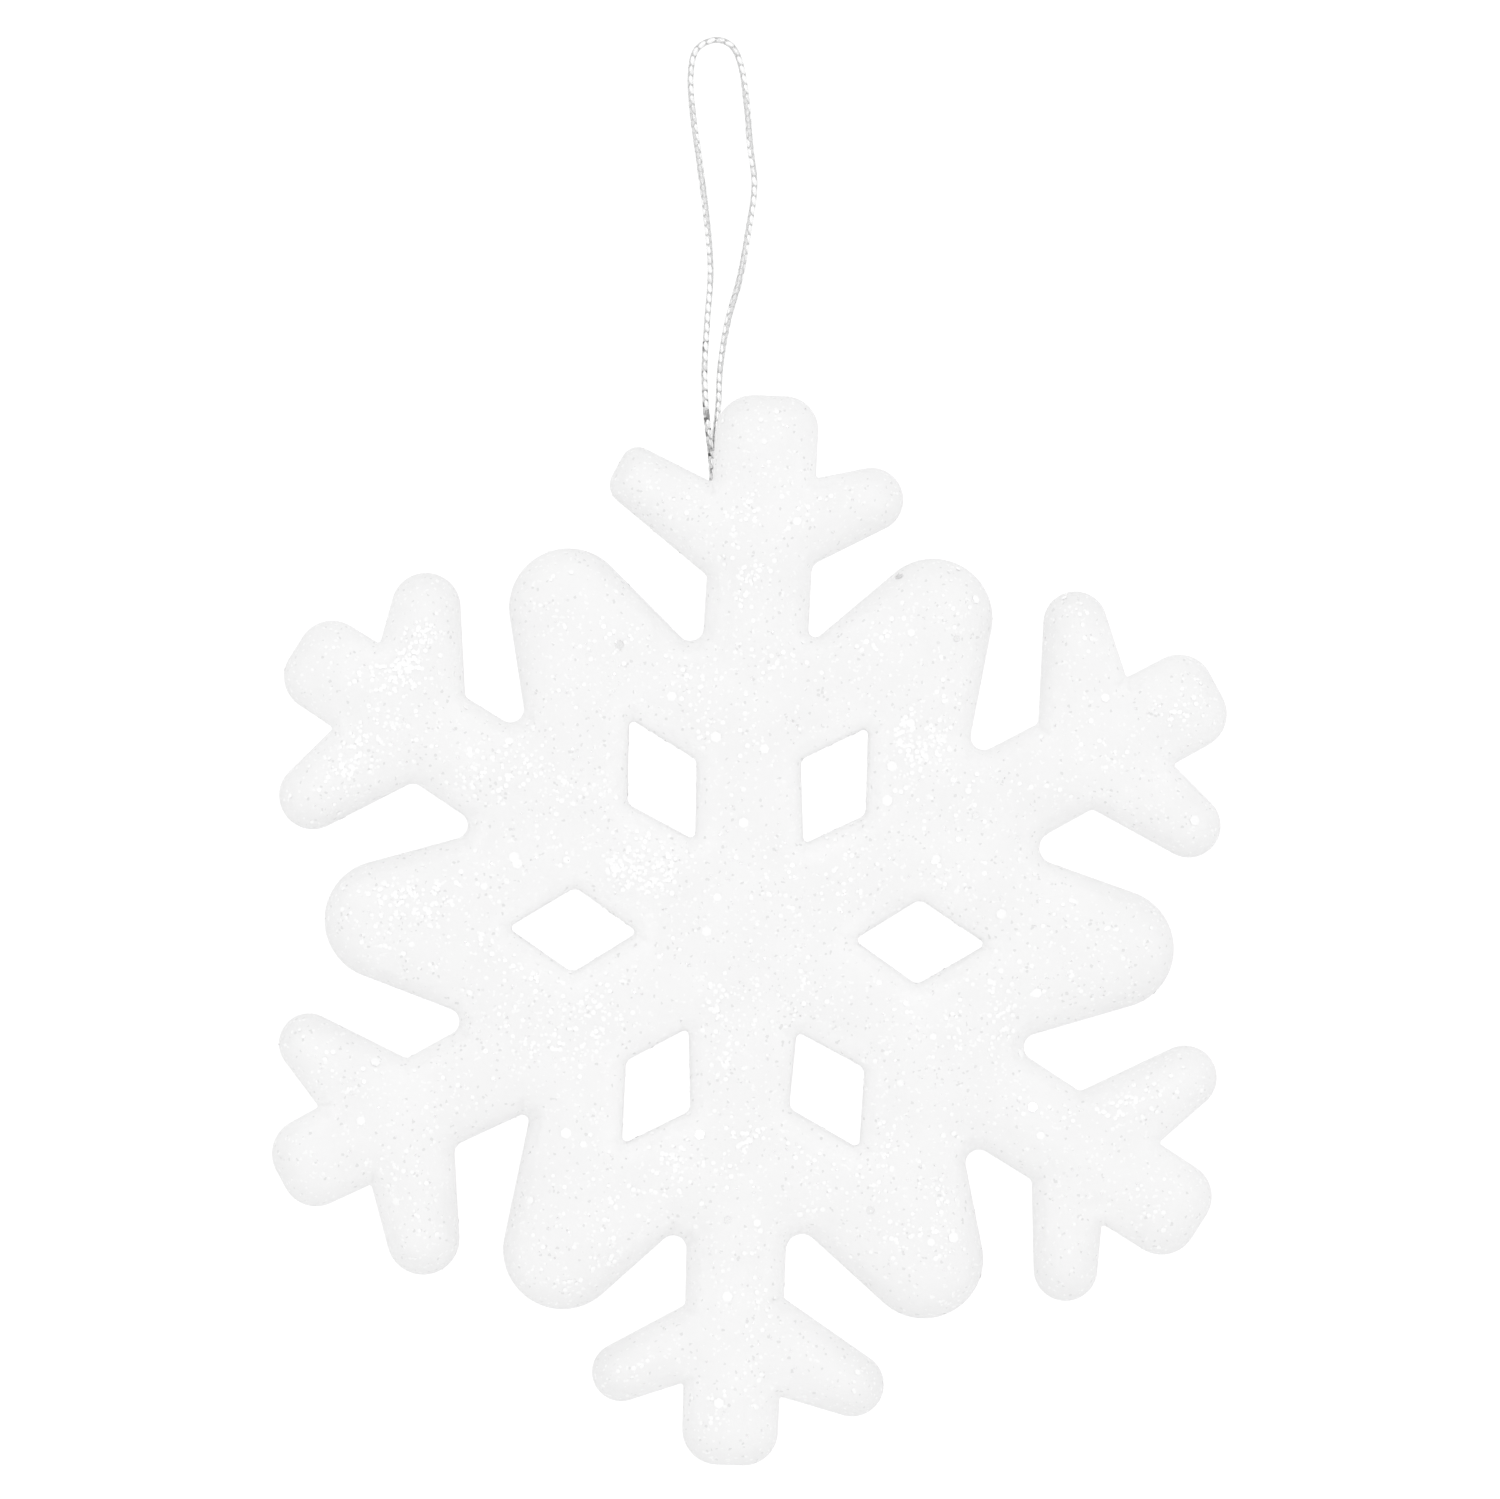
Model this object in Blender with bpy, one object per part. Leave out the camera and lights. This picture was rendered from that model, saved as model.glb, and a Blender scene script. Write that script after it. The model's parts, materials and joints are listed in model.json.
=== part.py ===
"""Hanging snowflake ornament: one moulded foam snowflake on a thin braided metallic cord.

The ornament hangs upright in the XZ plane with its front towards -Y and +Z up.
The origin is the hook point, at the top of the cord loop's inside.
"""
import math

import bmesh
import bpy
from mathutils import Vector

MM = 0.001

# Driving dimensions, in millimetres
FOAM_CENTRE = (3.3, -6.6, -100.7)  # middle of the snowflake, seen from the hook point
FOAM_HALF_THICKNESS = 5.0
EDGE_WIDTH = 3.0  # how far the rounded edge runs in over the front and back
EDGE_STEPS = 3
ARC_STEPS = 4  # segments in a quarter turn of the outline
SECTOR = 60.0  # degrees from one arm to the next
LEAN = 2.1  # degrees by which the whole snowflake hangs clockwise
PETAL_TURN = 32.0  # degrees from straight up to the middle of the first petal

# One arm: u runs outwards along it, v across it
ARM = {
    "turn": 0.0,
    "reach": 60.2,
    "left_half": (5.6, 5.3),  # half widths at the valley and at the tip
    "right_half": (5.9, 5.6),
    "left_valley": 31.1,  # where the petal meets the arm
    "right_valley": 32.0,
    "left_valley_round": 1.5,  # radii of those meeting corners
    "right_valley_round": 1.5,
    "left_corner": 3.9,  # rounding of the arm's own tip
    "right_corner": 4.0,
}
# One side branch: where its two edges leave the arm, the round of its tip, and the radii there
BRANCH = {"pit": 41.1, "notch": 51.5, "tip": (49.6, 12.7), "radius": 3.6, "blunt": None,
          "pit_round": 0.7, "notch_round": 0.3}

# One petal between two arms, and the kite-shaped opening inside it
PETAL = {"reach": 48.2, "radius": 6.7, "shift": 0.0}
KITE = {"inner": (12.2, 0.0), "left": (19.4, -4.8), "outer": (27.1, 0.0), "right": (19.4, 4.8)}
KITE_SHARP_RADIUS = 0.5  # at the inner and outer ends
KITE_WIDE_RADIUS = 1.2  # at the two sides

CORD_DIAMETER = 0.8
CORD_SPACING = 2.0  # between the points of the cord's centreline
TWIST_AXIS = (-0.5, 0.0)  # x and y of the line that the cord hangs on
KNOT_CENTRE = (*TWIST_AXIS, -51.3)
KNOT_RADII = (1.15, 1.05, 1.3)
TILT_AXIS_Z = -55.85
END_TOP_Z = -52.9
END_LENGTH = 2.8
DAB_CENTRE = (1.9, -1.3, -58.9)
DAB_RADII = (3.6, 1.9, 2.9)

FOAM_WHITE = (0.93, 0.93, 0.94, 1.0)
SILVER = (0.72, 0.73, 0.75, 1.0)
GLUE = (0.86, 0.85, 0.80, 1.0)


def clear_scene():
    for item in list(bpy.data.objects):
        bpy.data.objects.remove(item, do_unlink=True)


def make_material(name, colour, roughness, metallic=0.0):
    material = bpy.data.materials.new(name)
    material.use_nodes = True
    shader = material.node_tree.nodes["Principled BSDF"]
    shader.inputs["Base Color"].default_value = colour
    shader.inputs["Roughness"].default_value = roughness
    shader.inputs["Metallic"].default_value = metallic
    return material


def add_object(name, data, material):
    item = bpy.data.objects.new(name, data)
    data.materials.append(material)
    bpy.context.scene.collection.objects.link(item)
    return item


def add_empty(name, place):
    item = bpy.data.objects.new(name, None)
    item.empty_display_size = 0.005
    item.location = [c * MM for c in place]
    bpy.context.scene.collection.objects.link(item)
    return item


# Plane geometry of the outline


def turned(point, degrees):
    """A point given along and across a spoke, in the snowflake's own x and z."""
    u, v = point
    a = math.radians(degrees)
    return (u * math.sin(a) + v * math.cos(a), u * math.cos(a) - v * math.sin(a))


def crossing(p, d, q, e):
    """Where the line through p along d meets the line through q along e."""
    t = ((q[0] - p[0]) * e[1] - (q[1] - p[1]) * e[0]) / (d[0] * e[1] - d[1] * e[0])
    return (p[0] + t * d[0], p[1] + t * d[1])


def tangent(p, centre, radius, side):
    """Direction from p of the line that touches the circle on the given side."""
    dx, dy = centre[0] - p[0], centre[1] - p[1]
    a = math.atan2(dy, dx) + side * math.asin(radius / math.hypot(dx, dy))
    return (math.cos(a), math.sin(a))


def tip_corner(p, q, centre, radius):
    """The sharp corner that, rounded by radius, is the circle's arc as reached from p and q."""
    cross = (centre[0] - p[0]) * (q[1] - p[1]) - (centre[1] - p[1]) * (q[0] - p[0])
    side = -1 if cross > 0 else 1
    apex = crossing(p, tangent(p, centre, radius, side), q, tangent(q, centre, radius, -side))
    return (*apex, radius)


def half_arm(arm, branch, side, sign):
    """Corners (u, v, radius) up one side of an arm, from the petal's valley to the tip."""
    root, tip = arm[side + "_half"]

    def on_edge(u):
        along = (u - 36.0) / (arm["reach"] - 36.0)
        return (u, sign * (root + (tip - root) * along))

    pit, notch = on_edge(branch["pit"]), on_edge(branch["notch"])
    valley = on_edge(arm[side + "_valley"])
    corners = [(*valley, arm[side + "_valley_round"]), (*pit, branch["pit_round"])]
    if branch["blunt"]:
        corners += [(u, sign * v, radius) for u, v, radius in branch["blunt"]]
    else:
        centre = (branch["tip"][0], sign * branch["tip"][1])
        corners.append(tip_corner(pit, notch, centre, branch["radius"]))
    corners += [(*notch, branch["notch_round"]), (*on_edge(arm["reach"]), arm[side + "_corner"])]
    return corners


def whole_arm(arm, left, right, degrees):
    """Corners of a whole arm in the snowflake's plane, left valley to right valley."""
    corners = half_arm(arm, left, "left", -1) + half_arm(arm, right, "right", 1)[::-1]
    return [(*turned((u, v), degrees), radius) for u, v, radius in corners]


def hand_finish():
    """The six arms with the small differences that hand finishing left in each."""
    return [
        (
            {"reach": 60.9, "left_half": (6.0, 5.4), "right_half": (5.8, 6.1), "right_valley": 32.9,
             "right_valley_round": 0.8, "left_corner": 4.3, "right_corner": 3.8},
            {"pit": 40.4, "notch": 50.9, "blunt": ((49.6, 17.8, 2.3), (55.2, 15.0, 2.0)),
             "pit_round": 0.3},
            {"pit": 42.0, "notch": 51.8, "tip": (49.6, 12.3), "pit_round": 1.5},
        ),
        (
            {"turn": -0.3, "reach": 60.0, "right_valley": 31.4, "right_valley_round": 1.8},
            {"pit": 40.3, "tip": (49.3, 13.5)},
            {"tip": (49.8, 12.6)},
        ),
        (
            {"turn": 0.5, "reach": 60.6, "right_valley": 32.4},
            {"notch": 51.7, "tip": (50.2, 13.2)},
            {"pit": 41.9, "notch": 51.2, "tip": (50.5, 12.2)},
        ),
        (
            {"turn": -0.3, "reach": 59.6, "left_valley": 31.3, "left_valley_round": 1.8,
             "right_half": (5.6, 5.4)},
            {"pit": 40.6, "notch": 51.7, "tip": (50.1, 13.5)},
            {"pit": 41.7, "notch": 50.5, "tip": (49.5, 12.5), "radius": 3.3},
        ),
        (
            {"turn": -0.2, "reach": 59.1, "left_half": (5.6, 4.3), "left_valley": 30.6,
             "left_valley_round": 0.7, "right_valley": 31.1},
            {"pit": 40.1, "notch": 50.4, "tip": (48.1, 12.9), "radius": 4.1, "pit_round": 1.3},
            {"pit": 40.2, "tip": (49.1, 12.5), "radius": 3.4},
        ),
        (
            {"turn": 0.1, "reach": 60.2, "left_half": (5.4, 4.7), "right_half": (6.0, 5.8),
             "right_valley": 32.8},
            {"pit": 40.9, "notch": 51.8, "tip": (49.7, 12.6), "radius": 3.8, "pit_round": 1.4},
            {"notch": 52.4, "tip": (50.2, 12.1), "radius": 3.9},
        ),
    ]


def petal_finish():
    """The six petals and their openings, starting right of the top arm."""
    return [
        ({"shift": -1.1}, {"left": (20.1, -5.3), "outer": (27.2, -0.8), "right": (18.7, 4.2)}),
        ({"shift": 0.0}, {}),
        ({"shift": -0.6}, {}),
        (
            {"reach": 47.6, "shift": -1.2},
            {"left": (20.0, -5.1), "outer": (27.3, -0.6), "right": (19.1, 4.0)},
        ),
        ({"reach": 47.5, "shift": 0.4}, {"outer": (26.8, 0.0)}),
        ({"reach": 48.7, "shift": -0.3}, {"outer": (27.8, -0.1), "right": (20.1, 4.4)}),
    ]


def outline_corners():
    """Sharp corners (x, z, radius) of the snowflake's outside, going clockwise."""
    arms = []
    for i, (arm, left, right) in enumerate(hand_finish()):
        degrees = LEAN + SECTOR * i + arm.get("turn", 0.0)
        arms.append(whole_arm({**ARM, **arm}, {**BRANCH, **left}, {**BRANCH, **right}, degrees))
    corners = []
    for i, (petal, _) in enumerate(petal_finish()):
        petal = {**PETAL, **petal}
        start, end = arms[i][-1][:2], arms[(i + 1) % len(arms)][0][:2]
        centre = turned((petal["reach"] - petal["radius"], petal["shift"]), PETAL_TURN + SECTOR * i)
        corners += arms[i]
        corners.append(tip_corner(start, end, centre, petal["radius"]))
    return corners


def kite_corners(i):
    """Sharp corners (x, z, radius) of the opening inside petal i, going anticlockwise."""
    kite = {**KITE, **petal_finish()[i][1]}
    corners = []
    for k in ("inner", "right", "outer", "left"):
        radius = KITE_WIDE_RADIUS if k in ("left", "right") else KITE_SHARP_RADIUS
        corners.append((*turned(kite[k], PETAL_TURN + SECTOR * i), radius))
    return corners


def rounded_loop(corners, inset):
    """The closed loop with every edge moved to its right-hand side by inset and every corner rounded."""
    count = len(corners)
    edges = []
    for i in range(count):
        (x0, z0, _), (x1, z1, _) = corners[i], corners[(i + 1) % count]
        length = math.hypot(x1 - x0, z1 - z0)
        d = ((x1 - x0) / length, (z1 - z0) / length)
        edges.append(((x0 + d[1] * inset, z0 - d[0] * inset), d))
    points = []
    for i in range(count):
        (p, d), (q, e) = edges[i - 1], edges[i]
        corner = crossing(p, d, q, e)
        side = 1 if d[0] * e[1] - d[1] * e[0] > 0 else -1
        radius = max(corners[i][2] + inset * side, 0.2)
        turn = math.acos(max(-1.0, min(1.0, d[0] * e[0] + d[1] * e[1])))
        back = radius * math.tan(turn / 2)
        x, z = corner[0] - d[0] * back, corner[1] - d[1] * back
        centre = (x - d[1] * side * radius, z + d[0] * side * radius)
        start = math.atan2(z - centre[1], x - centre[0])
        steps = max(2, round(ARC_STEPS * turn / (math.pi / 2)))
        for k in range(steps + 1):
            a = start + side * turn * k / steps
            points.append((centre[0] + radius * math.cos(a), centre[1] + radius * math.sin(a)))
    return points


def edge_profile():
    """(inset, y) from the front crown round the edge to the back crown."""
    profile = []
    for k in range(-EDGE_STEPS, EDGE_STEPS + 1):
        a = math.pi / 2 * k / EDGE_STEPS
        profile.append((EDGE_WIDTH * (1 - math.cos(a)), FOAM_HALF_THICKNESS * math.sin(a)))
    return profile


def add_wall(bm, corners):
    """The rounded wall that follows one loop; returns its front and back edges."""
    rings = []
    for inset, y in edge_profile():
        loop = rounded_loop(corners, inset)
        rings.append([bm.verts.new((x * MM, y * MM, z * MM)) for x, z in loop])
    count = len(rings[0])
    for low, high in zip(rings, rings[1:]):
        for i in range(count):
            j = (i + 1) % count
            bm.faces.new((low[i], low[j], high[j], high[i]))
    bm.edges.ensure_lookup_table()
    rims = []
    for ring in (rings[0], rings[-1]):
        rims.append([bm.edges.get((ring[i], ring[(i + 1) % count])) for i in range(count)])
    return rims


def build_foam(material):
    """The moulded foam snowflake: six branched arms, six petals and six kite openings."""
    bm = bmesh.new()
    walls = [add_wall(bm, outline_corners())]
    for i in range(6):
        walls.append(add_wall(bm, kite_corners(i)))
    for end in (0, 1):
        rim = [edge for wall in walls for edge in wall[end]]
        bmesh.ops.triangle_fill(bm, use_beauty=True, use_dissolve=False, edges=rim)
    bmesh.ops.recalc_face_normals(bm, faces=bm.faces[:])
    for face in bm.faces:
        face.smooth = True
    mesh = bpy.data.meshes.new("foam_snowflake")
    bm.to_mesh(mesh)
    bm.free()
    foam = add_object("foam_snowflake", mesh, material)
    foam.location = [c * MM for c in FOAM_CENTRE]
    return foam


# The cord


def smooth_route(points, spacing):
    """Evenly spaced points along the smooth curve through the route's own points."""
    dense = []
    ends = [2 * points[0] - points[1], *points, 2 * points[-1] - points[-2]]
    for p0, p1, p2, p3 in zip(ends, ends[1:], ends[2:], ends[3:]):
        for k in range(12):
            t = k / 12
            dense.append(
                0.5 * (2 * p1 + (p2 - p0) * t + (2 * p0 - 5 * p1 + 4 * p2 - p3) * t * t
                       + (3 * p1 - p0 - 3 * p2 + p3) * t * t * t)
            )
    dense.append(points[-1])
    lengths = [0.0]
    for a, b in zip(dense, dense[1:]):
        lengths.append(lengths[-1] + (b - a).length)
    count = max(2, round(lengths[-1] / spacing))
    route, k = [], 0
    for i in range(count + 1):
        s = lengths[-1] * i / count
        while k < len(dense) - 2 and lengths[k + 1] < s:
            k += 1
        part = (s - lengths[k]) / max(lengths[k + 1] - lengths[k], 1e-12)
        route.append(dense[k].lerp(dense[k + 1], part))
    return route


def add_tube(name, route, material):
    curve = bpy.data.curves.new(name, "CURVE")
    curve.dimensions = "3D"
    curve.bevel_depth = CORD_DIAMETER / 2 * MM
    curve.bevel_resolution = 2
    curve.use_fill_caps = True
    curve.resolution_u = 1
    spline = curve.splines.new("POLY")
    spline.points.add(len(route) - 1)
    for point, place in zip(spline.points, route):
        point.co = (*(place * MM), 1.0)
    spline.use_smooth = True
    return add_object(name, curve, material)


def loop_route():
    """Up the left strand from the knot, over the hook point and down the right strand."""
    left = [
        (-0.45, -0.45, -49.7),
        (-0.7, -0.45, -46.0),
        (-1.2, -0.45, -41.5),
        (-1.4, -0.3, -37.0),
        (-1.1, -0.15, -31.5),
        (-0.7, 0.0, -25.5),
        (-1.25, 0.0, -19.0),
        (-2.0, 0.0, -13.0),
        (-2.75, 0.0, -7.5),
        (-2.95, 0.0, -3.5),
        (-2.3, 0.0, -0.7),
    ]
    right = [
        (-0.2, 0.0, 0.4),
        (1.75, 0.0, -0.35),
        (2.8, 0.0, -2.8),
        (3.4, 0.0, -7.0),
        (3.75, 0.0, -11.5),
        (4.25, 0.0, -16.0),
        (3.6, 0.0, -21.0),
        (2.6, 0.0, -26.5),
        (1.2, 0.15, -31.5),
        (0.4, 0.3, -36.5),
        (0.15, 0.45, -41.0),
        (-0.35, 0.45, -45.5),
        (-0.5, 0.45, -49.7),
    ]
    return [Vector(p) for p in left + right]


def build_cord_loop(material):
    """The loop of cord from the knot over the hook point and back to the knot."""
    return add_tube("cord_loop", smooth_route(loop_route(), CORD_SPACING), material)


def add_ball(name, centre, radii, material):
    bm = bmesh.new()
    bmesh.ops.create_uvsphere(bm, u_segments=16, v_segments=10, radius=1.0)
    bmesh.ops.scale(bm, vec=[r * MM for r in radii], verts=bm.verts[:])
    for face in bm.faces:
        face.smooth = True
    mesh = bpy.data.meshes.new(name)
    bm.to_mesh(mesh)
    bm.free()
    item = add_object(name, mesh, material)
    item.location = [c * MM for c in centre]
    return item


def build_cord_knot(material):
    """The knot that closes the loop."""
    return add_ball("cord_knot", KNOT_CENTRE, KNOT_RADII, material)


def build_cord_end(name, x, lean, material):
    """One cut end of the cord, running from the knot down to the glue."""
    top = Vector((x, 0.0, END_TOP_Z))
    route = [top + Vector((lean * t * t, 0.0, -END_LENGTH * t)) for t in (0.0, 0.25, 0.5, 0.75, 1.0)]
    return add_tube(name, route, material)


def build_glue_dab(material):
    """The low dome of glue that holds the cord's ends on the back of the top arm."""
    bm = bmesh.new()
    rings = []
    steps, around = 5, 24
    for k in range(steps):
        a = math.pi / 2 * k / steps
        ring = []
        for i in range(around):
            b = 2 * math.pi * i / around
            wide = math.cos(a) ** 0.6
            place = (DAB_RADII[0] * wide * math.cos(b), DAB_RADII[1] * math.sin(a),
                     DAB_RADII[2] * wide * math.sin(b))
            ring.append(bm.verts.new([c * MM for c in place]))
        rings.append(ring)
    for low, high in zip(rings, rings[1:]):
        for i in range(around):
            j = (i + 1) % around
            bm.faces.new((low[i], low[j], high[j], high[i]))
    top = bm.verts.new((0.0, DAB_RADII[1] * MM, 0.0))
    for i in range(around):
        bm.faces.new((rings[-1][i], rings[-1][(i + 1) % around], top))
    bm.faces.new(rings[0])
    bmesh.ops.recalc_face_normals(bm, faces=bm.faces[:])
    for face in bm.faces:
        face.smooth = len(face.verts) < 5
    mesh = bpy.data.meshes.new("glue_dab")
    bm.to_mesh(mesh)
    bm.free()
    dab = add_object("glue_dab", mesh, material)
    dab.location = [c * MM for c in DAB_CENTRE]
    return dab


def hang(child, parent):
    child.parent = parent
    child.location = child.location - parent.matrix_world.translation


def build():
    clear_scene()
    white = make_material("foam_white", FOAM_WHITE, 0.65)
    silver = make_material("cord_silver", SILVER, 0.35, metallic=0.6)
    glue = make_material("glue_clear", GLUE, 0.25)

    foam = build_foam(white)
    build_cord_loop(silver)
    knot = build_cord_knot(silver)
    ends = [
        build_cord_end("cord_end_left", -0.98, -0.5, silver),
        build_cord_end("cord_end_right", -0.02, 1.6, silver),
    ]
    dab = build_glue_dab(glue)

    twist = add_empty("twist_axis", KNOT_CENTRE)
    swing = add_empty("swing_axis", KNOT_CENTRE)
    tilt = add_empty("tilt_axis", (*TWIST_AXIS, TILT_AXIS_Z))
    bpy.context.view_layer.update()
    hang(knot, twist)
    for end in ends:
        hang(end, swing)
    for item in (foam, dab):
        hang(item, tilt)


build()
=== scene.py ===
"""Hanging snowflake ornament: glitter-coated foam on a knitted silver cord, seen from the front."""
import json
import math

import bmesh
import bpy
import numpy as np
from mathutils import Matrix, Vector
from mathutils.geometry import delaunay_2d_cdt
from mathutils.kdtree import KDTree


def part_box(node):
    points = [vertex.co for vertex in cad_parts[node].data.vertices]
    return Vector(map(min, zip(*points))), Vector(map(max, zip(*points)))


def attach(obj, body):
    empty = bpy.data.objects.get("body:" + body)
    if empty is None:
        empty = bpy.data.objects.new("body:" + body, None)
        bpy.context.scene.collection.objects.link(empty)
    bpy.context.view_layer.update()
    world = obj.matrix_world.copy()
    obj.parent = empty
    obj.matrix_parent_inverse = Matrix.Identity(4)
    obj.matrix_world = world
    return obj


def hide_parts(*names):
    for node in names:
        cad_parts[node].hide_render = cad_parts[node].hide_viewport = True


MM = 0.001
SEED = 20

# View: the camera looks straight at the front, from VIEW_X across and VIEW_Z up
VIEW_X = 0.00375
VIEW_Z = -0.0797
VIEW_WIDTH = 168.9 * MM
VIEW_DISTANCE = 2.5
SENSOR = 36.0

# Studio: white light from all round, whose strength changes a little with x, y and z, and soft lights
# in front. What the camera sees of it is just past pure white.
BACKDROP_LEVEL = 1.08
STUDIO_LEVEL = 0.995
STUDIO_SLOPE = (0.006, -0.022, -0.02)
# Name, place from the ornament's centre, size and power
STUDIO_LIGHTS = (
    ("key_light", (0.35, -1.35, 0.45), 0.25, 0.65),
    ("fill_light", (-0.45, -1.35, 0.3), 0.2, 0.32),
    ("low_light", (0.2, -1.3, -0.3), 0.2, 0.16),
)
FLOOR_HEIGHT = -0.30
FLOOR_RINGS = (0.3, 0.8, 1.5)
FLOOR_SECTIONS = 96

# Cord: a tube with plump stitches in two opposite rows
CORD_DIAMETER = 0.8 * MM
CORD_SECTIONS = 24
CURVE_STEPS = 40
ROUTE_STEP = 0.09 * MM
STITCH_PITCH = 1.1 * MM
STITCH_HALF_LENGTH = 0.475 * MM
STITCH_HALF_WIDTH = 0.32 * MM
STITCH_RISE = 0.06 * MM
STITCH_SLANT = 0.16
TUBE_RADIUS = CORD_DIAMETER / 2 - STITCH_RISE
KNIT_TWIST = math.radians(4.0) / MM
# Place along the loop's cord in mm, and how many half turns the knit has made there
LOOP_TURNS = (
    (0.0, -0.3), (23.0, 0.0), (36.5, 0.5), (47.0, 0.9), (59.0, 1.1),
    (64.0, 1.5), (71.0, 2.0), (82.5, 2.5), (95.0, 3.0), (108.0, 3.5),
)
# Where the left strand is painted with dark reflections: below each height in mm, the share of stitches and
# gaps painted dark changes by the third number over the second number of mm
PAINTED_REFLECTION_STEPS = ((-31.5, 2.0, 0.28), (-39.5, 1.5, 0.3), (-45.5, 1.5, -0.38))
# The sides between the rows, painted darker as shade, with darker diagonal lines of painted shade and,
# where dark reflections are painted, dark cells
BAND_SHADE_TONE = 0.775
BAND_LINES = 1.5
BAND_LINE_SLANT = 1.2
BAND_LINE_WIDTH = 0.11
BAND_LINE_SHADE = 0.16
BAND_CELLS = 4
DARK_TONE = 0.06
DARK_SPREAD = 0.5
# The stitches: most are bright and some softer. Where dark reflections are painted, some are darker. Each
# has a darker rim of painted shade round it
SOFT_SHARE = 0.38
SOFT_TONES = (0.80, 0.92)
BRIGHT_TONES = (0.96, 1.0)
PAINTED_REFLECTION_SHARE = 0.45
PAINTED_REFLECTION_TONE = 0.35
PAINTED_REFLECTION_SPREAD = 0.8
SEAM_SHADE_DEPTH = 0.26
SEAM_START = 0.75
SEAM_RISE = 0.3
SEAM_STOP = 1.9
SEAM_FALL = 0.5
# The knot is a trefoil, with its own half width, half height and middle height
KNOT_POINTS = 120
TREFOIL_HALF_WIDTH = 2.6
TREFOIL_HALF_HEIGHT = 2.53
TREFOIL_MIDDLE = -0.47
# CAD node, piece, top in x and sideways lean in mm of each cut end
CUT_ENDS = (
    ("cord_end_left", "cut_end_left", -0.98, -0.5),
    ("cord_end_right", "cut_end_right", -0.02, 1.6),
)
# Where a cut end starts in the knot and stops in the glue, as shares of its node's height
END_START = -0.18
END_STOP = 1.2
END_POINTS = 14

# The loop's route in mm as in part.py, with both ends led on into the knot
LEFT_STRAND = [
    (-0.5, -0.25, -51.2), (-0.45, -0.45, -49.7), (-0.7, -0.45, -46.0), (-1.2, -0.45, -41.5),
    (-1.4, -0.3, -37.0), (-1.1, -0.15, -31.5), (-0.7, 0.0, -25.5), (-1.25, 0.0, -19.0),
    (-2.0, 0.0, -13.0), (-2.75, 0.0, -7.5), (-2.95, 0.0, -3.5), (-2.3, 0.0, -0.7),
]
RIGHT_STRAND = [
    (-0.2, 0.0, 0.4), (1.75, 0.0, -0.35), (2.8, 0.0, -2.8), (3.4, 0.0, -7.0),
    (3.75, 0.0, -11.5), (4.25, 0.0, -16.0), (3.6, 0.0, -21.0), (2.6, 0.0, -26.5),
    (1.2, 0.15, -31.5), (0.4, 0.3, -36.5), (0.15, 0.45, -41.0), (-0.35, 0.45, -45.5),
    (-0.5, 0.45, -49.7), (-0.5, 0.25, -51.2),
]

# Foam: a crowned section with soft rims, cut straighter round the kite openings
HALF_THICKNESS = 5.0 * MM
SOFT_EDGE = 4.2 * MM
WIDE_EDGE = 8.0 * MM
WIDE_SHARE = 0.24
KITE_WALL = 0.48
# Points on the outline, in rows beside it, and in a grid inside the rows
RIM_STEP = 0.3 * MM
RIM_ROWS = tuple(d * MM for d in (0.03, 0.11, 0.25, 0.45, 0.75, 1.15))
DENSE_ROWS = 0.5 * MM
GRID_STEP = 0.5 * MM
ON_RIM = 0.001 * MM
STEEP_RIM = 0.5 * MM
PROFILE_ROUNDS = 14
# Length and height of the surface's waves, and how far in from the rim they are at full height
WAVE_COUNT = 14
LONG_WAVE = (9.0 * MM, 0.05 * MM)
SHORT_WAVE = (3.5 * MM, 0.018 * MM)
WAVE_INSET = 2.5 * MM
# Painted glow and shade near the rim: the distance over which foam counts, the share of foam that leaves
# the tone as it is, the strength, and where the painted glow ends and how softly
PAINTED_GLOW_REACH = 4.1 * MM
PAINTED_GLOW_EVEN = 0.57
PAINTED_GLOW_STRENGTH = 0.13
PAINTED_GLOW_INSET = 3.0 * MM
PAINTED_GLOW_FADE = 1.9 * MM

# Glitter: piece, flakes, smallest and largest size in mm, lean, tones, film, strength of the drifts,
# and weight of the rims against the crowns
GLITTER = (
    ("glitter_fine_pearl", 5600, (0.36, 0.66), 0.05, (0.99, 1.0), "pearl", 1.25, 0.04),
    ("glitter_fine_mirror", 1700, (0.12, 0.25), 0.22, (0.78, 1.0), "mirror", 0.35, 0.3),
    ("glitter_coarse_pearl", 120, (0.7, 1.35), 0.03, (0.97, 1.0), "pearl", 0.9, 0.05),
    ("glitter_coarse_mirror", 26, (0.8, 1.2), 0.05, (0.80, 0.92), "mirror", 0.5, 0.1),
)
FLAKE_HALF_THICKNESS = 0.018 * MM
FLAKE_RISE = 0.03 * MM
SMALL_FLAKE_BIAS = 1.3
# Flakes lie thickest on the crowns, some way in from the rim, and are few at the tips, far from the hub
CROWN_FROM = 0.8 * MM
CROWN_RISE = 2.6 * MM
CROWN_POWER = 1.5
TIP_FROM = 49 * MM
TIP_FADE = 8 * MM
TIP_LOSS = 0.7
# Length and strength of the drifts
LONG_DRIFT = (16 * MM, 0.7)
SHORT_DRIFT = (6 * MM, 0.6)

# Glue: balls of it round the cut ends, as x, y, z and radius in mm, that flow into the dab
GLUE_RUNS = (
    (-1.35, -0.3, -56.25, 0.75), (-0.9, -0.45, -56.9, 1.0), (-0.2, -0.45, -57.4, 1.2),
    (0.6, -0.45, -57.2, 1.2), (1.6, -0.35, -56.6, 1.0),
)
GLUE_VOXEL = 0.22 * MM
GLUE_ROUNDS = 10


def linked(item):
    bpy.context.scene.collection.objects.link(item)
    return item


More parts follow.
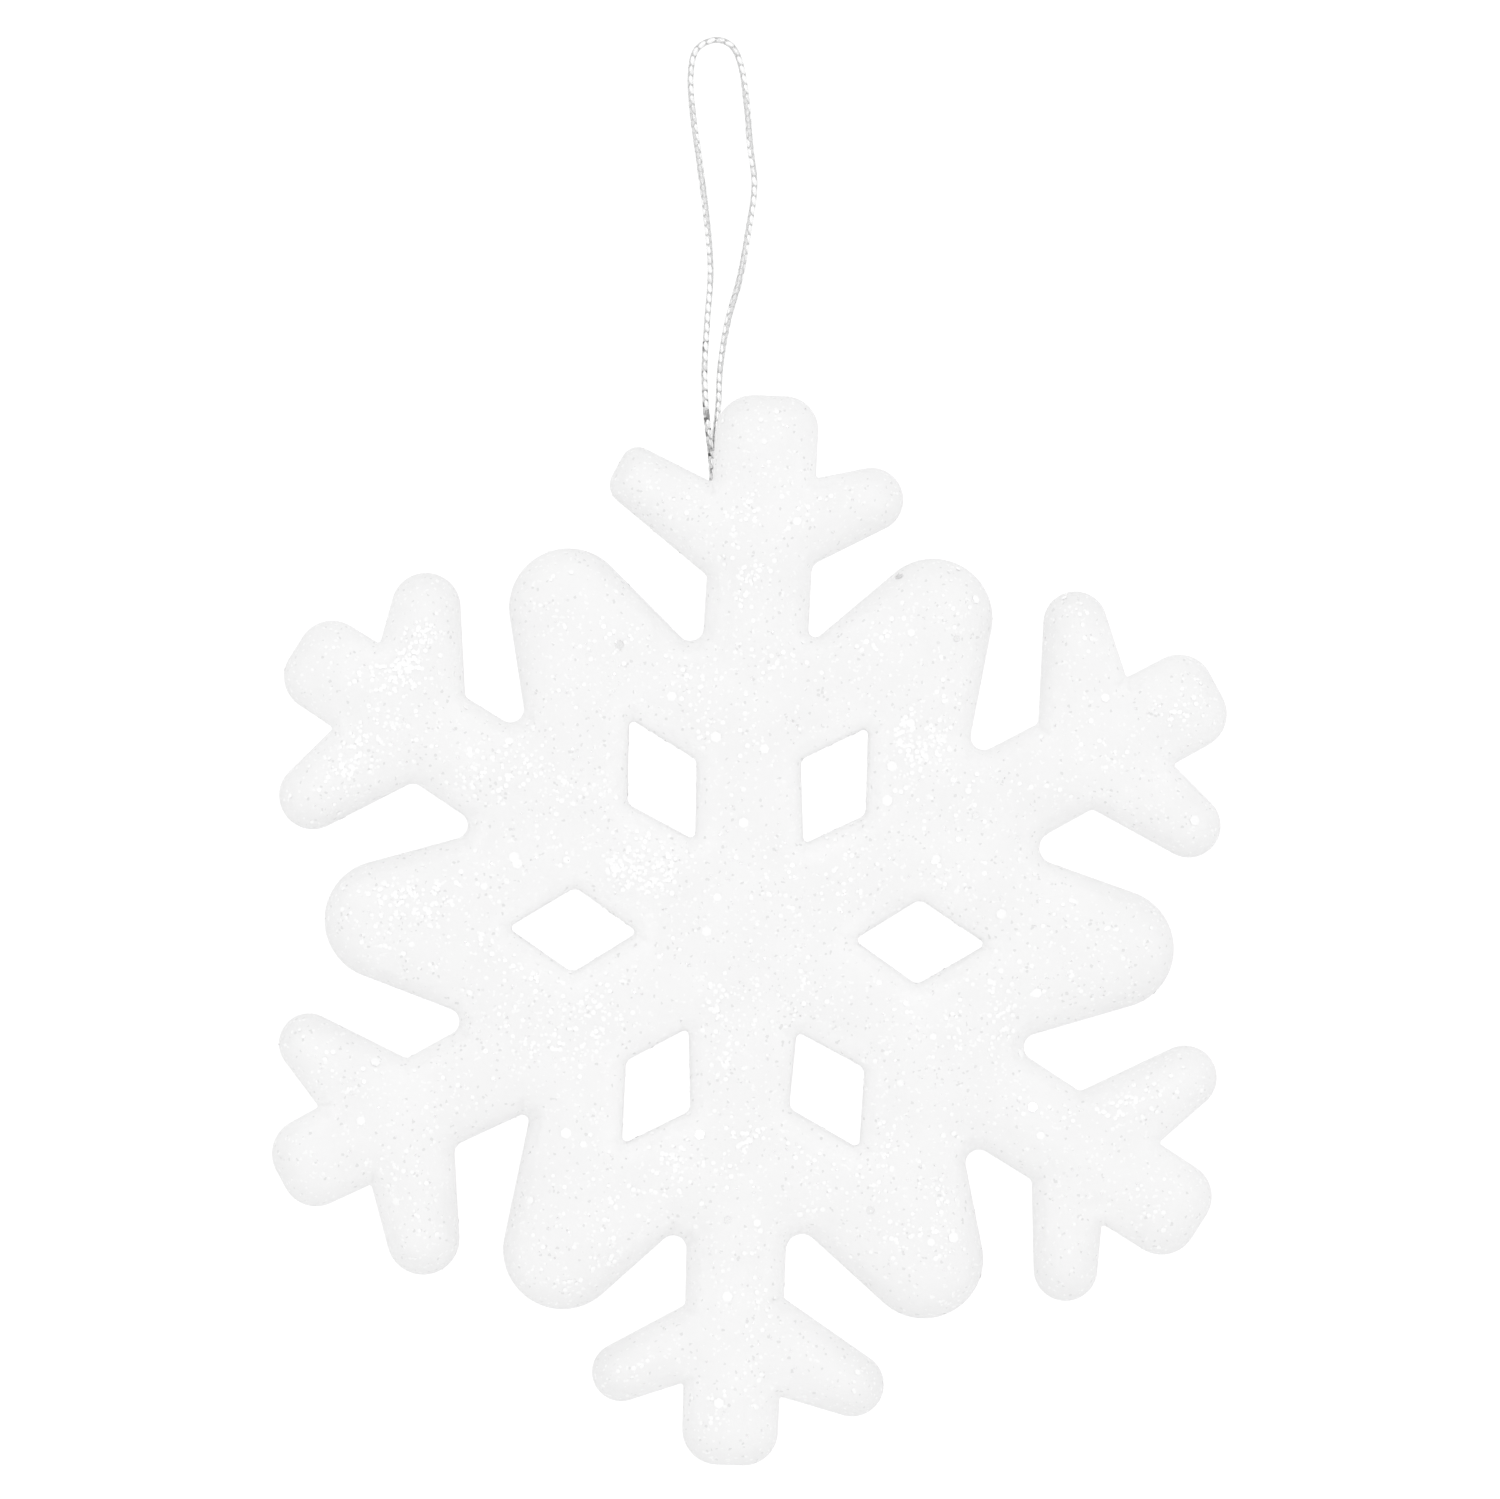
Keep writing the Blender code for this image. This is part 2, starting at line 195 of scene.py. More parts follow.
def mesh_object(name, verts, faces, material, smooth=True):
    mesh = bpy.data.meshes.new(name)
    mesh.from_pydata([tuple(v) for v in verts], [], [tuple(f) for f in faces])
    mesh.validate()
    if smooth:
        mesh.shade_smooth()
    mesh.materials.append(material)
    return linked(bpy.data.objects.new(name, mesh))


def set_tones(item, tones):
    """One grey per vertex, in the tone attribute that the material reads."""
    colour = np.ones((len(tones), 4), np.float32)
    colour[:, :3] = np.asarray(tones)[:, None]
    layer = item.data.color_attributes.new("tone", "FLOAT_COLOR", "POINT")
    layer.data.foreach_set("color", colour.ravel())


def outward(item):
    """Turns every face of a closed mesh outwards."""
    bm = bmesh.new()
    bm.from_mesh(item.data)
    bmesh.ops.recalc_face_normals(bm, faces=bm.faces[:])
    bm.to_mesh(item.data)
    bm.free()


# Node helpers


def new_material(name):
    material = bpy.data.materials.new(name)
    material.use_nodes = True
    nodes = material.node_tree.nodes
    return material, nodes, material.node_tree.links, nodes["Principled BSDF"]


def object_coords(nodes):
    return nodes.new("ShaderNodeTexCoord").outputs["Object"]


def tone_node(nodes):
    node = nodes.new("ShaderNodeAttribute")
    node.attribute_name = "tone"
    return node.outputs["Color"]


def noise_node(nodes, links, coords, scale, detail):
    node = nodes.new("ShaderNodeTexNoise")
    node.inputs["Scale"].default_value = scale
    node.inputs["Detail"].default_value = detail
    node.inputs["Roughness"].default_value = 0.5
    links.new(coords, node.inputs["Vector"])
    return node.outputs["Fac"]


def ramp_node(nodes, links, source, stops):
    node = nodes.new("ShaderNodeValToRGB")
    elements = node.color_ramp.elements
    for element, (place, value) in zip(elements, stops):
        element.position = place
        element.color = (*value, 1.0) if hasattr(value, "__len__") else (value, value, value, 1.0)
    links.new(source, node.inputs["Fac"])
    return node.outputs["Color"]


def mix_node(nodes, links, factor, a, b, blend="MIX"):
    node = nodes.new("ShaderNodeMix")
    node.data_type = "RGBA"
    node.blend_type = blend
    for socket, value in ((node.inputs[0], factor), (node.inputs[6], a), (node.inputs[7], b)):
        if isinstance(value, bpy.types.NodeSocket):
            links.new(value, socket)
        elif hasattr(value, "__len__"):
            socket.default_value = (*value, 1.0)
        else:
            socket.default_value = value
    return node.outputs[2]


def bump_node(nodes, links, height, strength, distance, normal=None):
    node = nodes.new("ShaderNodeBump")
    node.inputs["Strength"].default_value = strength
    node.inputs["Distance"].default_value = distance
    links.new(height, node.inputs["Height"])
    if normal:
        links.new(normal, node.inputs["Normal"])
    return node.outputs["Normal"]


# Materials


def foam_material():
    """White foam under a thin skin of glue holding glitter too fine to be pieces of their own."""
    material, nodes, links, shader = new_material("glittered_foam")
    coords = object_coords(nodes)
    patches = noise_node(nodes, links, coords, scale=160.0, detail=3.0)
    tone = ramp_node(nodes, links, patches, [(0.3, (0.886, 0.885, 0.886)), (0.7, (0.908, 0.907, 0.908))])
    # The tone attribute carries the painted glow and shade near the rims.
    tone = mix_node(nodes, links, 1.0, tone, tone_node(nodes), "MULTIPLY")

    # About one cell in sixteen is a bright speck, and one in fifty a dark one, painted grey as a reflection
    # of darker surroundings.
    cells = nodes.new("ShaderNodeTexVoronoi")
    cells.inputs["Scale"].default_value = 3600.0
    links.new(coords, cells.inputs["Vector"])
    split = nodes.new("ShaderNodeSeparateColor")
    links.new(cells.outputs["Color"], split.inputs["Color"])
    bright = ramp_node(nodes, links, split.outputs["Red"], [(0.93, 0.0), (0.95, 1.0)])
    dark = ramp_node(nodes, links, split.outputs["Green"], [(0.98, 0.0), (0.985, 1.0)])
    speckled = mix_node(nodes, links, bright, tone, (0.945, 0.945, 0.945))
    speckled = mix_node(nodes, links, dark, speckled, (0.78, 0.78, 0.78))
    links.new(speckled, shader.inputs["Base Color"])
    gloss = ramp_node(nodes, links, split.outputs["Red"], [(0.80, 0.62), (0.9, 0.3)])
    links.new(gloss, shader.inputs["Roughness"])

    grain = noise_node(nodes, links, coords, scale=2600.0, detail=2.0)
    swell = noise_node(nodes, links, coords, scale=420.0, detail=2.0)
    normal = bump_node(nodes, links, swell, 0.25, 0.0002)
    normal = bump_node(nodes, links, grain, 0.2, 0.00004, normal)
    links.new(normal, shader.inputs["Normal"])
    shader.inputs["Specular IOR Level"].default_value = 0.35
    shader.inputs["Coat Weight"].default_value = 0.12
    shader.inputs["Coat Roughness"].default_value = 0.35
    return material


def flake_material(name, metallic, roughness):
    """Glitter film whose tone differs from flake to flake."""
    material, nodes, links, shader = new_material(name)
    scratches = noise_node(nodes, links, object_coords(nodes), scale=5200.0, detail=2.0)
    scuffed = ramp_node(nodes, links, scratches, [(0.3, 0.985), (0.6, 1.0)])
    colour = mix_node(nodes, links, 1.0, tone_node(nodes), scuffed, "MULTIPLY")
    links.new(colour, shader.inputs["Base Color"])
    gloss = ramp_node(nodes, links, scratches, [(0.3, roughness + 0.1), (0.7, roughness)])
    links.new(gloss, shader.inputs["Roughness"])
    shader.inputs["Metallic"].default_value = metallic
    shader.inputs["Specular IOR Level"].default_value = 0.8
    return material


def cord_material():
    """Metallised yarn: fine filaments and small differences in silver, over the stitches' tones."""
    material, nodes, links, shader = new_material("silver_braid")
    fibres = noise_node(nodes, links, object_coords(nodes), scale=9000.0, detail=3.0)
    shade = ramp_node(nodes, links, fibres, [(0.3, 0.93), (0.55, 1.0)])
    colour = mix_node(nodes, links, 1.0, tone_node(nodes), shade, "MULTIPLY")
    links.new(colour, shader.inputs["Base Color"])
    gloss = ramp_node(nodes, links, fibres, [(0.3, 0.35), (0.7, 0.15)])
    links.new(gloss, shader.inputs["Roughness"])
    links.new(bump_node(nodes, links, fibres, 0.5, 0.00003), shader.inputs["Normal"])
    shader.inputs["Metallic"].default_value = 1.0
    return material


def glue_material():
    """Set hot-melt glue, slightly cloudy and glossy."""
    material, nodes, links, shader = new_material("set_glue")
    coords = object_coords(nodes)
    cloud = noise_node(nodes, links, coords, scale=700.0, detail=3.0)
    colour = ramp_node(nodes, links, cloud, [(0.3, (0.80, 0.79, 0.75)), (0.7, (0.90, 0.895, 0.87))])
    links.new(colour, shader.inputs["Base Color"])
    gloss = ramp_node(nodes, links, cloud, [(0.3, 0.12), (0.7, 0.28)])
    links.new(gloss, shader.inputs["Roughness"])
    ripple = noise_node(nodes, links, coords, scale=1400.0, detail=1.0)
    links.new(bump_node(nodes, links, ripple, 0.25, 0.0001), shader.inputs["Normal"])
    shader.inputs["Coat Weight"].default_value = 0.6
    shader.inputs["Coat Roughness"].default_value = 0.08
    shader.inputs["Subsurface Weight"].default_value = 0.15
    shader.inputs["Subsurface Radius"].default_value = (0.002, 0.002, 0.0018)
    return material


def floor_material():
    material, nodes, links, shader = new_material("pale_floor")
    grain = noise_node(nodes, links, object_coords(nodes), scale=30.0, detail=4.0)
    links.new(ramp_node(nodes, links, grain, [(0.3, 0.95), (0.7, 0.97)]), shader.inputs["Base Color"])
    shader.inputs["Roughness"].default_value = 0.9
    return material


# Camera


def build_camera(centre):
    data = bpy.data.cameras.new("front_camera")
    data.sensor_width = SENSOR
    data.lens = SENSOR * VIEW_DISTANCE / VIEW_WIDTH
    data.clip_start = 0.05
    data.clip_end = 50.0
    camera = linked(bpy.data.objects.new("front_camera", data))
    camera.location = (centre[0], centre[1] - VIEW_DISTANCE, centre[2])
    camera.rotation_euler = (math.pi / 2, 0.0, 0.0)
    bpy.context.scene.camera = camera


# Cord


def smooth_route(points):
    """Evenly spaced points along the smooth curve through the given points."""
    p = np.array(points, float)
    p = np.vstack([2 * p[0] - p[1], p, 2 * p[-1] - p[-2]])
    t = np.linspace(0.0, 1.0, CURVE_STEPS, endpoint=False)[:, None]
    dense = []
    for a, b, c, d in zip(p, p[1:], p[2:], p[3:]):
        dense.append(0.5 * (2 * b + (c - a) * t + (2 * a - 5 * b + 4 * c - d) * t ** 2
                            + (3 * b - a - 3 * c + d) * t ** 3))
    dense = np.vstack([*dense, p[-2][None]])
    along = np.concatenate([[0.0], np.cumsum(np.linalg.norm(np.diff(dense, axis=0), axis=1))])
    count = max(2, round(along[-1] / ROUTE_STEP))
    s = np.linspace(0.0, along[-1], count + 1)
    return np.stack([np.interp(s, along, dense[:, i]) for i in range(3)], axis=1)


def sideways_pairs(route):
    """Two directions square to the route at each point, turning as little as possible along it."""
    tangents = np.gradient(route, axis=0)
    tangents /= np.linalg.norm(tangents, axis=1)[:, None]
    side = np.cross(tangents[0], (0.0, 1.0, 0.0))
    if np.linalg.norm(side) < 1e-3:
        side = np.cross(tangents[0], (1.0, 0.0, 0.0))
    sides = []
    for t in tangents:
        side = side - t * side.dot(t)
        side = side / np.linalg.norm(side)
        sides.append(side)
    sides = np.array(sides)
    return sides, np.cross(tangents, sides)


def band_tones(along, facing, painted_reflection, rng):
    """Tones of the sides between the rows, painted as shade: darker diagonal lines of painted shade, and
    cells painted dark as reflections of darker surroundings.
    """
    # The sides between the rows are painted darker as shade, darker still along diagonal lines.
    lines = along / STITCH_PITCH * BAND_LINES + np.sin(facing) * BAND_LINE_SLANT
    diagonal = np.abs(lines % 1.0 - 0.5)
    band = BAND_SHADE_TONE - BAND_LINE_SHADE * (diagonal < BAND_LINE_WIDTH)
    # Cells painted dark as reflections of darker surroundings, in the given share.
    luck = rng.random((int(along[-1, 0] / STITCH_PITCH) * BAND_CELLS + 8, 4))
    cell = np.floor(along / STITCH_PITCH * BAND_CELLS).astype(int)
    quarter = np.floor(facing / (math.pi / 2)).astype(int) % 4
    luck = luck[cell, quarter]
    return np.where(luck < painted_reflection, DARK_TONE + DARK_SPREAD * luck / np.maximum(painted_reflection, 0.01), band)


def stitch_row(row, along, facing, painted_reflection, rng):
    """One of the two rows: how far off its stitch each place is, 1 at the stitch's rim, and the shine,
    painted dark on some stitches as reflections of darker surroundings.
    """
    angle = (facing - row * math.pi + math.pi) % (2 * math.pi) - math.pi
    sideways = angle * TUBE_RADIUS / STITCH_HALF_WIDTH
    place = along / STITCH_PITCH + 0.5 * row + STITCH_SLANT * sideways
    stitch = np.floor(place).astype(int)
    forward = (place - stitch - 0.5) * STITCH_PITCH / STITCH_HALF_LENGTH
    luck = rng.random(stitch.max() + 2)
    soft = rng.uniform(*SOFT_TONES, len(luck))
    bright = rng.uniform(*BRIGHT_TONES, len(luck))
    shine = np.where(luck < SOFT_SHARE, soft, bright)[stitch]
    # Some stitches are painted dark as reflections of darker surroundings.
    painted_reflection_stitch = luck[stitch] < painted_reflection * PAINTED_REFLECTION_SHARE
    return sideways ** 2 + forward ** 2, np.where(painted_reflection_stitch, PAINTED_REFLECTION_TONE + PAINTED_REFLECTION_SPREAD * luck[stitch], shine)


def knitted(name, route, material, rng, painted_reflection=0.0, turns=None):
    """A knitted tube: plump bright stitches in two opposite rows, which turn slowly about the cord.

    The share of stitches and gaps painted dark, as reflections of darker surroundings, is given for each
    route point. turns gives places along the cord and the half turns made there; without it the knit turns
    evenly."""
    a, b = sideways_pairs(route)
    steps = np.linalg.norm(np.diff(route, axis=0), axis=1)
    along = np.concatenate([[0.0], np.cumsum(steps)])[:, None]
    painted_reflection = np.broadcast_to(painted_reflection, len(route))[:, None]
    around = (2 * math.pi * np.arange(CORD_SECTIONS) / CORD_SECTIONS)[None, :]
    turned = KNIT_TWIST * along
    if turns:
        turned = math.pi * np.interp(along, [place * MM for place, _ in turns], [half for _, half in turns])
    facing = around - math.pi / 2 + turned
    tone = band_tones(along, facing, painted_reflection, rng)
    rise = np.zeros_like(tone)
    for row in (0, 1):
        off, shine = stitch_row(row, along, facing, painted_reflection, rng)
        # A darker rim of painted shade round each stitch.
        seam_shade = (np.clip((off - SEAM_START) / SEAM_RISE, 0.0, 1.0)
                * np.clip((SEAM_STOP - off) / SEAM_FALL, 0.0, 1.0))
        tone = np.where(off < 1.0, shine, tone) * (1 - SEAM_SHADE_DEPTH * seam_shade)
        rise = np.maximum(rise, np.sqrt(np.maximum(1 - off, 0.0)))
    radius = TUBE_RADIUS + STITCH_RISE * rise
    ring = a[:, None, :] * np.cos(around)[..., None] + b[:, None, :] * np.sin(around)[..., None]
    verts = (route[:, None, :] + ring * radius[..., None]).reshape(-1, 3)
    item = mesh_object(name, verts, tube_faces(len(route)), material)
    outward(item)
    set_tones(item, tone.ravel())
    return item


def tube_faces(count):
    """Faces of a tube with the given number of rings, closed at both ends."""
    faces = []
    for o in range(0, (count - 1) * CORD_SECTIONS, CORD_SECTIONS):
        for k in range(CORD_SECTIONS):
            n = (k + 1) % CORD_SECTIONS
            faces.append((o + k, o + n, o + CORD_SECTIONS + n, o + CORD_SECTIONS + k))
    faces.append(tuple(range(CORD_SECTIONS))[::-1])
    faces.append(tuple((count - 1) * CORD_SECTIONS + k for k in range(CORD_SECTIONS)))
    return faces


def build_cord(material, rng):
    """The hanging loop, with dark flecks painted low on its left strand as reflections of darker
    surroundings.
    """
    route = smooth_route([tuple(c * MM for c in p) for p in LEFT_STRAND + RIGHT_STRAND])
    # The share painted dark as reflections of darker surroundings grows towards the bottom of the left
    # strand.
    painted_reflection = sum(share * np.clip((level * MM - route[:, 2]) / (fade * MM), 0.0, 1.0)
               for level, fade, share in PAINTED_REFLECTION_STEPS)
    on_left = route[:, 1] < 0
    cord = knitted("silver_cord", route, material, rng, painted_reflection * on_left, LOOP_TURNS)
    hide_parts("cord_loop")
    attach(cord, "hanging_loop")


def build_knot(material, rng):
    """An overhand knot: a trefoil of the cord drawn tight inside the knot's own box."""
    low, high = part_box("cord_knot")
    centre = np.array((low + high) / 2)
    room = np.array((high - low) / 2) - CORD_DIAMETER / 2
    t = np.linspace(0.0, 2 * math.pi, KNOT_POINTS)
    across = (np.sin(t) + 2 * np.sin(2 * t)) / TREFOIL_HALF_WIDTH
    through = -np.sin(3 * t)
    up = (np.cos(t) - 2 * np.cos(2 * t) - TREFOIL_MIDDLE) / TREFOIL_HALF_HEIGHT
    route = np.stack([across * room[0], through * room[1], up * room[2]], axis=1) + centre
    knot = knitted("tied_knot", smooth_route(route), material, rng)
    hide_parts("cord_knot")
    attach(knot, "knot")


def build_end(node, name, x, lean, material, rng):
    """One cut end of the cord, from inside the knot down into the glue."""
    low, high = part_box(node)
    t = np.linspace(END_START, END_STOP, END_POINTS)
    across = x * MM + lean * MM * t * np.abs(t)
    route = np.stack([across, 0.0 * t, high.z - (high.z - low.z) * t], axis=1)
    end = knitted(name, smooth_route(route), material, rng)
    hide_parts(node)
    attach(end, "cord_ends")


# Foam


def outline_loops(node):
    """The closed loops of the CAD solid's widest outline, as arrays of x and z, and its place in y."""
    low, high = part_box(node)
    middle = (low.y + high.y) / 2
    data = frame["nodes"][node].data
    near, place = {}, {}
    for edge in data.edges:
        ends = [data.vertices[i].co for i in edge.vertices]
        if all(abs(end.y - middle) < 0.01 * MM for end in ends):
            # Points less than a ten-thousandth of a millimetre apart are one point.
            keys = [(round(end.x * 1e7), round(end.z * 1e7)) for end in ends]
            if keys[0] != keys[1]:
                for key, other, end in zip(keys, keys[::-1], ends):
                    near.setdefault(key, set()).add(other)
                    place[key] = (end.x, end.z)
    loops = []
    while near:
        loop, here = [], min(near)
        while here is not None:
            loop.append(place[here])
            onward = [key for key in near.pop(here) if key in near]
            here = min(onward) if onward else None
        loops.append(np.array(loop))
    return loops, middle


def rounded_arcs(loop, step):
    """The loop with each chord of a fillet put back on its arc, in pieces no longer than step."""
    count = len(loop)
    chords = np.roll(loop, -1, axis=0) - loop
    lengths = np.linalg.norm(chords, axis=1)
    first = int(np.argmax(lengths))
    heading = np.arctan2(chords[:, 1], chords[:, 0])
    turns = (heading - np.roll(heading, 1) + math.pi) % (2 * math.pi) - math.pi
    # The turn at a corner is half the bend of the chord before it and half that of the chord after it.
    bend = np.zeros(count)
    for k in range(1, count):
        i = (first + k) % count
        bend[i] = 2 * turns[i] - bend[i - 1]
        if abs(bend[i]) < 0.01:
            bend[i] = 0.0
    points = []
    for i in range(count):
        pieces = max(1, math.ceil(lengths[i] / step))
        forward = chords[i] / lengths[i]
        side = np.array((forward[1], -forward[0]))
        half = bend[i] / 2
        for k in range(pieces):
            t = k / pieces
            if half:
                radius = lengths[i] / 2 / math.sin(half)
                w = half * (2 * t - 1)
                along = lengths[i] / 2 + radius * math.sin(w)
                out = radius * (math.cos(w) - math.cos(half))
            else:
                along, out = lengths[i] * t, 0.0
            points.append(loop[i] + forward * along + side * out)
    return np.array(points)


def inside_loops(points, loops):
    """Which points lie inside the outer loop and outside the openings."""
    inside = np.zeros(len(points), bool)
    for loop in loops:
        a, b = loop, np.roll(loop, -1, axis=0)
        for (ax, az), (bx, bz) in zip(a, b):
            if az != bz:
                between = (points[:, 1] < az) != (points[:, 1] < bz)
                cross = ax + (points[:, 1] - az) * (bx - ax) / (bz - az)
                inside ^= between & (points[:, 0] < cross)
    return inside


def flat_tree(points):
    """A tree that finds the nearest of the given points in x and z."""
    tree = KDTree(len(points))
    for i, (x, z) in enumerate(points):
        tree.insert((x, 0.0, z), i)
    tree.balance()
    return tree


def distances(points, loops):
    """How far each point is from the nearest point of the loops."""
    tree = flat_tree(np.vstack(loops))
    return np.array([tree.find((x, 0.0, z))[2] for x, z in points])


def enclosure(points, loops, reach):
    """The share of foam around each point, weighted by nearness over about the given reach."""
    low = np.vstack(loops).min(axis=0) - 3 * reach
    high = np.vstack(loops).max(axis=0) + 3 * reach
    size = np.ceil((high - low) / GRID_STEP).astype(int)
    across, up = np.meshgrid(np.arange(size[0]), np.arange(size[1]), indexing="ij")
    places = low + np.stack([across.ravel(), up.ravel()], axis=1) * GRID_STEP
    share = inside_loops(places, loops).reshape(size).astype(float)
    offsets = np.arange(-3 * reach, 3 * reach + GRID_STEP / 2, GRID_STEP)
    kernel = np.exp(-0.5 * (offsets / reach) ** 2)
    for axis in (0, 1):
        share = np.apply_along_axis(np.convolve, axis, share, kernel / kernel.sum(), "same")
    cell = np.round((points - low) / GRID_STEP).astype(int)
    return share[cell[:, 0], cell[:, 1]]


def rim_rows(loop, rim, loops):
    """Rows of points that follow one rim loop inside the foam, closer together near the rim."""
    forward = np.roll(loop, -1, axis=0) - np.roll(loop, 1, axis=0)
    forward /= np.linalg.norm(forward, axis=1)[:, None]
    normal = np.stack([-forward[:, 1], forward[:, 0]], axis=1)
    test = loop[:1] + normal[:1] * 0.05 * MM
    if not inside_loops(test, loops)[0]:
        normal = -normal
    rows = []
    for row in RIM_ROWS:
        every = 1 if row <= DENSE_ROWS else 2
        points = (loop + normal * row)[::every]
        rows.append(points[(distances(points, rim) > row * 0.93) & inside_loops(points, loops)])
    return rows


def inner_grid(rim, loops):
    """A grid of triangle corners over the foam, inside the rim rows."""
    low = np.vstack(rim).min(axis=0)
    high = np.vstack(rim).max(axis=0)
    across = np.arange(low[0], high[0], GRID_STEP)
    grid = []
    for i, z in enumerate(np.arange(low[1], high[1], GRID_STEP * math.sqrt(3) / 2)):
        grid.append(np.stack([across + (i % 2) * GRID_STEP / 2, np.full(len(across), z)], axis=1))
    grid = np.vstack(grid)
    grid = grid[inside_loops(grid, loops)]
    return grid[distances(grid, rim) > RIM_ROWS[-1] + 0.35 * GRID_STEP]


def crown_grid(loops):
    """Triangles over the outline, and how far in each of their corners is from rim and kites."""
    rim = [rounded_arcs(loop, RIM_STEP) for loop in loops]
    rows = [row for loop in rim for row in rim_rows(loop, rim, loops)]
    points = np.vstack([*rim, *rows, inner_grid(rim, loops)])
    edges, start = [], 0
    for loop in rim:
        count = len(loop)
        edges += [(start + i, start + (i + 1) % count) for i in range(count)]
        start += count
    found = delaunay_2d_cdt([Vector(p / MM) for p in points], edges, [], 0, 1e-7)
    flat = np.array([tuple(v) for v in found[0]]) * MM
    faces = np.array([f for f in found[2]])
    faces = faces[inside_loops(flat[faces].mean(axis=1), rim)]
    used = np.unique(faces)
    renumber = np.full(len(flat), -1)
    renumber[used] = np.arange(len(used))
    flat, faces = flat[used], renumber[faces]
    a, b, c = flat[faces[:, 0]], flat[faces[:, 1]], flat[faces[:, 2]]
    turn = (b[:, 0] - a[:, 0]) * (c[:, 1] - a[:, 1]) - (b[:, 1] - a[:, 1]) * (c[:, 0] - a[:, 0])
    faces[turn < 0] = faces[turn < 0][:, ::-1]
    outer = max(rim, key=lambda loop: np.ptp(loop[:, 0]))
    kites = [loop for loop in rim if loop is not outer]
    return flat, faces, distances(flat, [outer]), distances(flat, kites)


def dome(distance, edge):
    """Height from 0 at the rim to 1 where the crown begins, on a quarter ellipse."""
    return np.sqrt(np.maximum(1 - (1 - np.minimum(distance, edge) / edge) ** 2, 0.0))


def smoothed(values, pairs, fixed, rounds):
    """Values moved halfway to their neighbours' mean, the given number of times."""
    weights = np.bincount(pairs.ravel(), minlength=len(values)).astype(float)
    moving = ~fixed
    for _ in range(rounds):
        total = (np.bincount(pairs[:, 0], values[pairs[:, 1]], len(values))
                 + np.bincount(pairs[:, 1], values[pairs[:, 0]], len(values)))
        values = np.where(moving, values + 0.5 * (total / weights - values), values)
    return values


def waves(points, rng, length):
    """A smooth random field of mean 0 and deviation 1 with features of about the given length."""
    total = np.zeros(len(points))
    for _ in range(WAVE_COUNT):
        direction = rng.normal(0.0, 1.0, points.shape[1])
        direction /= np.linalg.norm(direction)
        total += np.sin(points @ direction * 2 * math.pi / (length * rng.uniform(0.7, 1.6))
                        + rng.uniform(0.0, 2 * math.pi))
    return total / math.sqrt(WAVE_COUNT / 2)


def section_heights(triangles, inset, outer_inset, kite_inset):
    """Half the foam's thickness at each point of the grid, before its unevenness."""
    sides = np.vstack([triangles[:, (0, 1)], triangles[:, (1, 2)], triangles[:, (2, 0)]])
    pairs = np.unique(np.sort(sides, axis=1), axis=0)
    moulded = (1 - WIDE_SHARE) * dome(outer_inset, SOFT_EDGE) + WIDE_SHARE * dome(outer_inset, WIDE_EDGE)
    cut = np.where(inset < ON_RIM, 0.0, KITE_WALL + (1 - KITE_WALL) * dome(kite_inset, SOFT_EDGE))
    shape = HALF_THICKNESS * np.minimum(moulded, cut)
    return smoothed(shape, pairs, inset < STEEP_RIM, PROFILE_ROUNDS)


def build_foam(material, rng):
    """The moulded snowflake: soft rounded edges, crowned arms and creases in from the notches."""
    loops, middle = outline_loops("foam_snowflake")
    flat, triangles, outer_inset, kite_inset = crown_grid(loops)
    inset = np.minimum(outer_inset, kite_inset)
    on_rim = inset < ON_RIM
    shape = section_heights(triangles, inset, outer_inset, kite_inset)
    sides = []
    for _ in range(2):
        uneven = (waves(flat, rng, LONG_WAVE[0]) * LONG_WAVE[1]
                  + waves(flat, rng, SHORT_WAVE[0]) * SHORT_WAVE[1])
        sides.append(shape + (uneven - LONG_WAVE[1]) * np.minimum(inset / WAVE_INSET, 1.0))
    count = len(flat)
    inner = np.flatnonzero(~on_rim)
    back_of = np.arange(count)
    back_of[inner] = count + np.arange(len(inner))
    front = np.stack([flat[:, 0], middle - np.where(on_rim, 0.0, sides[0]), flat[:, 1]], axis=1)
    back = np.stack([flat[inner, 0], middle + sides[1][inner], flat[inner, 1]], axis=1)
    verts = np.vstack([front, back])
    faces = np.vstack([triangles, back_of[triangles][:, ::-1]])
    foam = mesh_object("glitter_foam", verts, faces.tolist(), material)
    outward(foam)

    # Painted glow and shade: rims with foam all round are painted a little brighter, as if light soaked
    # through, and open tips are painted duller.
    painted_glow = PAINTED_GLOW_STRENGTH * (enclosure(flat, loops, PAINTED_GLOW_REACH) - PAINTED_GLOW_EVEN)
    painted_glow = 1 + painted_glow * np.clip((PAINTED_GLOW_INSET - inset) / PAINTED_GLOW_FADE, 0.0, 1.0)
    set_tones(foam, np.concatenate([painted_glow, painted_glow[inner]]))
    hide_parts("foam_snowflake")
    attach(foam, "snowflake")
    return foam, flat, inset


# Glitter


def vertex_data(mesh, name):
    values = np.empty(len(mesh.vertices) * 3)
    mesh.vertices.foreach_get(name, values)
    return values.reshape(-1, 3)


